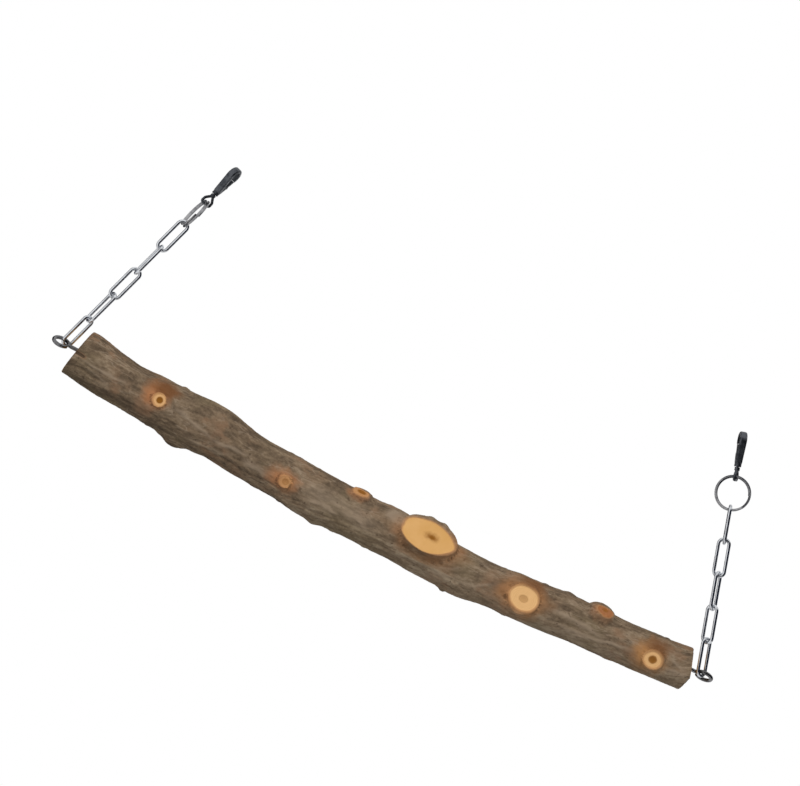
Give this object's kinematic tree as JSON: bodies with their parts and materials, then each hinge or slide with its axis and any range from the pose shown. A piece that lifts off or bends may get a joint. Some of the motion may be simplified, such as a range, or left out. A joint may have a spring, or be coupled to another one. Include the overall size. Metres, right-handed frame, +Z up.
{
  "type": "bird perch",
  "caption": "Hanging bird perch: a natural branch with bark and pruned knots, held level by screw eyes, long-link chains, split rings and swivel snap hooks.",
  "frame": {"origin": "middle of the left hook's seat, where the bar that it hangs on lies", "axes": "+Z up, +X along the branch from the left chain to the right chain, +Y away from the front"},
  "size_m": [0.524, 0.0458, 0.1985],
  "materials": {
    "bark_wood": "dry grey-brown bark",
    "zinc_steel": "zinc plated",
    "ring_steel": "nickel plated",
    "eye_steel": "zinc plated",
    "gunmetal": "gunmetal plated"
  },
  "bodies": {
    "left_swivel": {"left_swivel_eye": "gunmetal"},
    "left_claw": {"left_snap_claw": "gunmetal", "left_snap_pin": "gunmetal", "left_snap_spring": "ring_steel"},
    "left_trigger": {"left_snap_trigger": "gunmetal"},
    "left_ring": {"left_split_ring": "ring_steel"},
    "left_link_1": {"left_link_1": "zinc_steel"},
    "left_link_2": {"left_link_2": "zinc_steel"},
    "left_link_3": {"left_link_3": "zinc_steel"},
    "left_link_4": {"left_link_4": "zinc_steel"},
    "left_link_5": {"left_link_5": "zinc_steel"},
    "right_swivel": {"right_swivel_eye": "gunmetal"},
    "right_claw": {"right_snap_claw": "gunmetal", "right_snap_pin": "gunmetal", "right_snap_spring": "ring_steel"},
    "right_trigger": {"right_snap_trigger": "gunmetal"},
    "right_ring": {"right_split_ring": "ring_steel"},
    "right_link_1": {"right_link_1": "zinc_steel"},
    "right_link_2": {"right_link_2": "zinc_steel"},
    "right_link_3": {"right_link_3": "zinc_steel"},
    "right_link_4": {"right_link_4": "zinc_steel"},
    "right_link_5": {"right_link_5": "zinc_steel"},
    "branch": {"branch": "bark_wood", "left_screw_eye": "eye_steel", "right_screw_eye": "eye_steel"}
  },
  "joints": [
    {"name": "left_ring_swing", "type": "hinge", "parent": "left_swivel", "child": "left_ring", "pos_m": [-0.00828, 0, -0.02627], "axis": [1, 0, 0], "range_deg": [-15, 15]},
    {"name": "left_link_1_swing", "type": "hinge", "parent": "left_ring", "child": "left_link_1", "pos_m": [-0.01448, 0, -0.04592], "axis": [1, 0, 0], "range_deg": [-20, 20]},
    {"name": "left_link_2_swing", "type": "hinge", "parent": "left_link_1", "child": "left_link_2", "pos_m": [-0.02191, 0, -0.06948], "axis": [1, 0, 0], "range_deg": [-20, 20]},
    {"name": "left_link_3_swing", "type": "hinge", "parent": "left_link_2", "child": "left_link_3", "pos_m": [-0.02831, 0, -0.08979], "axis": [1, 0, 0], "range_deg": [-20, 20]},
    {"name": "left_link_4_swing", "type": "hinge", "parent": "left_link_3", "child": "left_link_4", "pos_m": [-0.03607, 0, -0.1144], "axis": [1, 0, 0], "range_deg": [-20, 20]},
    {"name": "left_link_5_swing", "type": "hinge", "parent": "left_link_4", "child": "left_link_5", "pos_m": [-0.04284, 0, -0.13586], "axis": [1, 0, 0], "range_deg": [-20, 20]},
    {"name": "branch_swing", "type": "hinge", "parent": "left_link_5", "child": "branch", "pos_m": [-0.04969, 0, -0.1576], "axis": [1, 0, 0], "range_deg": [-20, 20]},
    {"name": "right_link_5_swing", "type": "hinge", "parent": "branch", "child": "right_link_5", "pos_m": [0.45386, 0, -0.1576], "axis": [1, 0, 0], "range_deg": [-20, 20]},
    {"name": "right_link_4_swing", "type": "hinge", "parent": "right_link_5", "child": "right_link_4", "pos_m": [0.44715, 0, -0.13633], "axis": [1, 0, 0], "range_deg": [-20, 20]},
    {"name": "right_link_3_swing", "type": "hinge", "parent": "right_link_4", "child": "right_link_3", "pos_m": [0.43973, 0, -0.11278], "axis": [1, 0, 0], "range_deg": [-20, 20]},
    {"name": "right_link_2_swing", "type": "hinge", "parent": "right_link_3", "child": "right_link_2", "pos_m": [0.43311, 0, -0.0918], "axis": [1, 0, 0], "range_deg": [-20, 20]},
    {"name": "right_link_1_swing", "type": "hinge", "parent": "right_link_2", "child": "right_link_1", "pos_m": [0.42535, 0, -0.06719], "axis": [1, 0, 0], "range_deg": [-20, 20]},
    {"name": "right_ring_swing", "type": "hinge", "parent": "right_link_1", "child": "right_ring", "pos_m": [0.41907, 0, -0.04726], "axis": [1, 0, 0], "range_deg": [-20, 20]},
    {"name": "right_swivel_swing", "type": "hinge", "parent": "right_ring", "child": "right_swivel", "pos_m": [0.41233, 0, -0.02589], "axis": [1, 0, 0], "range_deg": [-15, 15]},
    {"name": "left_claw_swivel", "type": "hinge", "parent": "left_swivel", "child": "left_claw", "pos_m": [-0.00752, 0, -0.02384], "axis": [0.3007, 0, 0.9537], "continuous": true},
    {"name": "left_trigger_pivot", "type": "hinge", "parent": "left_claw", "child": "left_trigger", "pos_m": [-0.0034, 0.00019, -0.01098], "axis": [-0.912, 0.2924, 0.2876], "range_deg": [0, 25], "stiffness_Nm_per_rad": 0.03, "springref_deg": -17.19},
    {"name": "right_claw_swivel", "type": "hinge", "parent": "right_swivel", "child": "right_claw", "pos_m": [0.41169, 0, -0.02384], "axis": [-0.3007, 0, 0.9537], "continuous": true},
    {"name": "right_trigger_pivot", "type": "hinge", "parent": "right_claw", "child": "right_trigger", "pos_m": [0.4076, 0.0002, -0.01097], "axis": [-0.9485, -0.1045, -0.2991], "range_deg": [0, 25], "stiffness_Nm_per_rad": 0.03, "springref_deg": -17.19}
  ],
  "couplings": [
    {"joint": "right_link_5_swing", "follows": "branch_swing", "ratio": -1},
    {"joint": "right_link_4_swing", "follows": "left_link_5_swing", "ratio": -1},
    {"joint": "right_link_3_swing", "follows": "left_link_4_swing", "ratio": -1},
    {"joint": "right_link_2_swing", "follows": "left_link_3_swing", "ratio": -1},
    {"joint": "right_link_1_swing", "follows": "left_link_2_swing", "ratio": -1},
    {"joint": "right_ring_swing", "follows": "left_link_1_swing", "ratio": -1},
    {"joint": "right_swivel_swing", "follows": "left_ring_swing", "ratio": -1}
  ]
}
